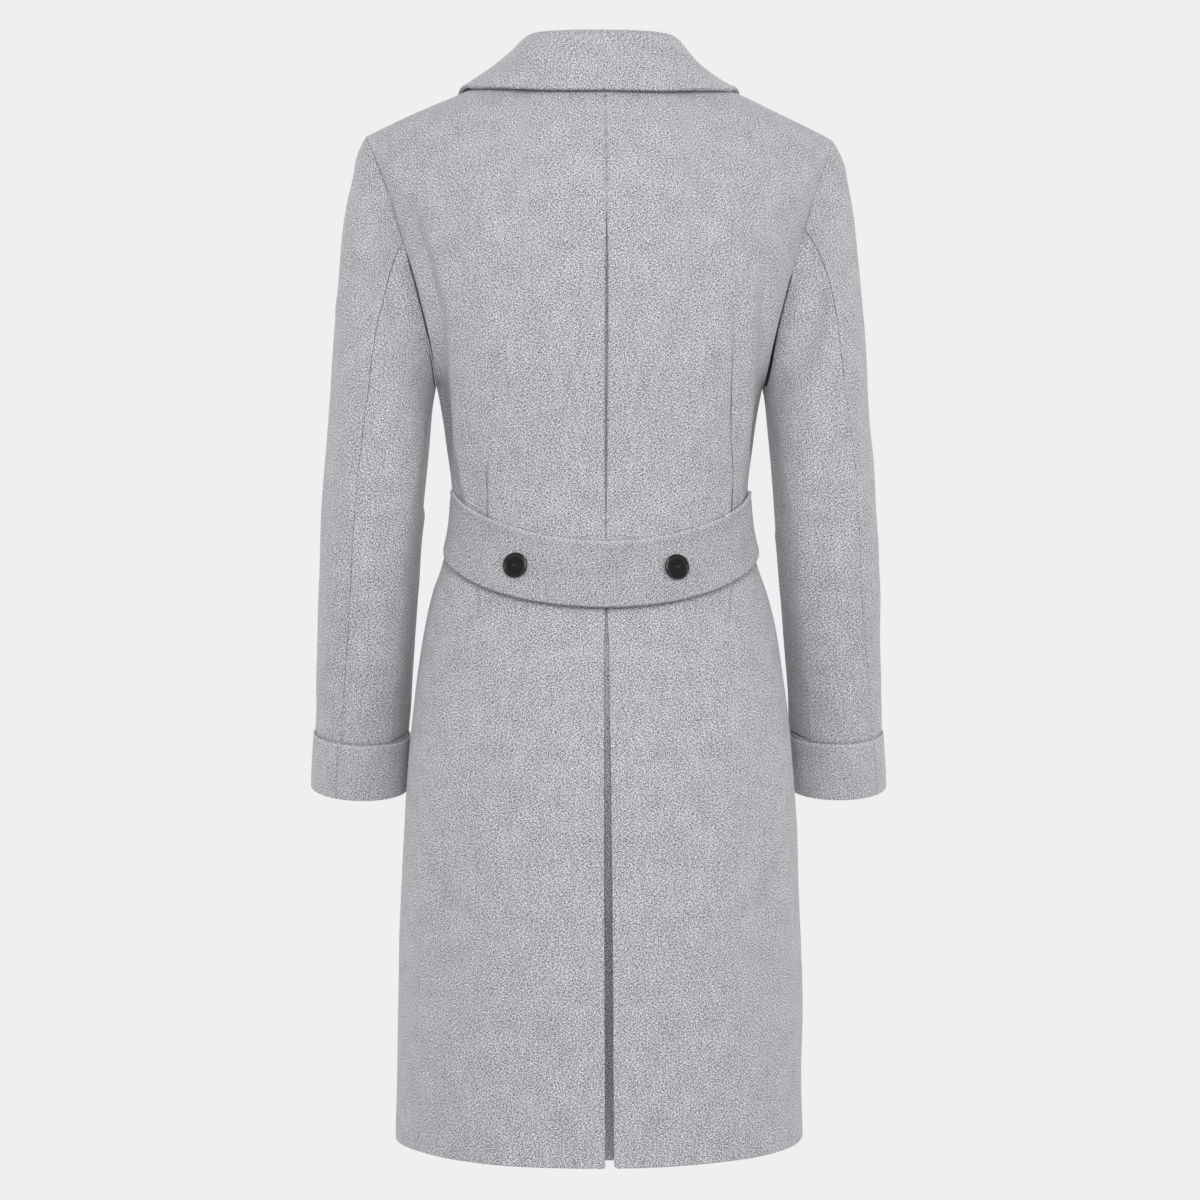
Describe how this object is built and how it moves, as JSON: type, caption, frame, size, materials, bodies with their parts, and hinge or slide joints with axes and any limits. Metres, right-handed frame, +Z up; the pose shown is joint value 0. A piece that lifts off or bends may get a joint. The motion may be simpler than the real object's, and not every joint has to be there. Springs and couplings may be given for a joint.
{
  "type": "polo coat",
  "caption": "Knee-length double-breasted wool coat with a half belt and an inverted back pleat, hollow, standing as if worn.",
  "frame": {"origin": "middle of the neck, level with the neck seam, where the wearer's neck and shoulders carry the coat", "axes": "+Z up, -Y the way the wearer faces, +X the wearer's left"},
  "size_m": [0.5857, 0.3415, 1.089],
  "materials": {
    "wool": "matt melange wool flannel, lightly milled",
    "horn": "polished black horn-like resin"
  },
  "bodies": {
    "root": {"back_belt": "wool", "back_left": "wool", "back_right": "wool", "collar": "wool", "cuff_left": "wool", "cuff_right": "wool", "front_left": "wool", "front_right": "wool", "lapel_left": "wool", "lapel_right": "wool", "pleat_underlay_back": "wool", "pleat_underlay_skirt": "wool", "top_sleeve_left": "wool", "top_sleeve_right": "wool", "under_sleeve_left": "wool", "under_sleeve_right": "wool", "belt_button_left": "horn", "belt_button_right": "horn", "front_button_1a": "horn", "front_button_1b": "horn", "front_button_2a": "horn", "front_button_2b": "horn", "front_button_3a": "horn", "front_button_3b": "horn"}
  },
  "joints": []
}
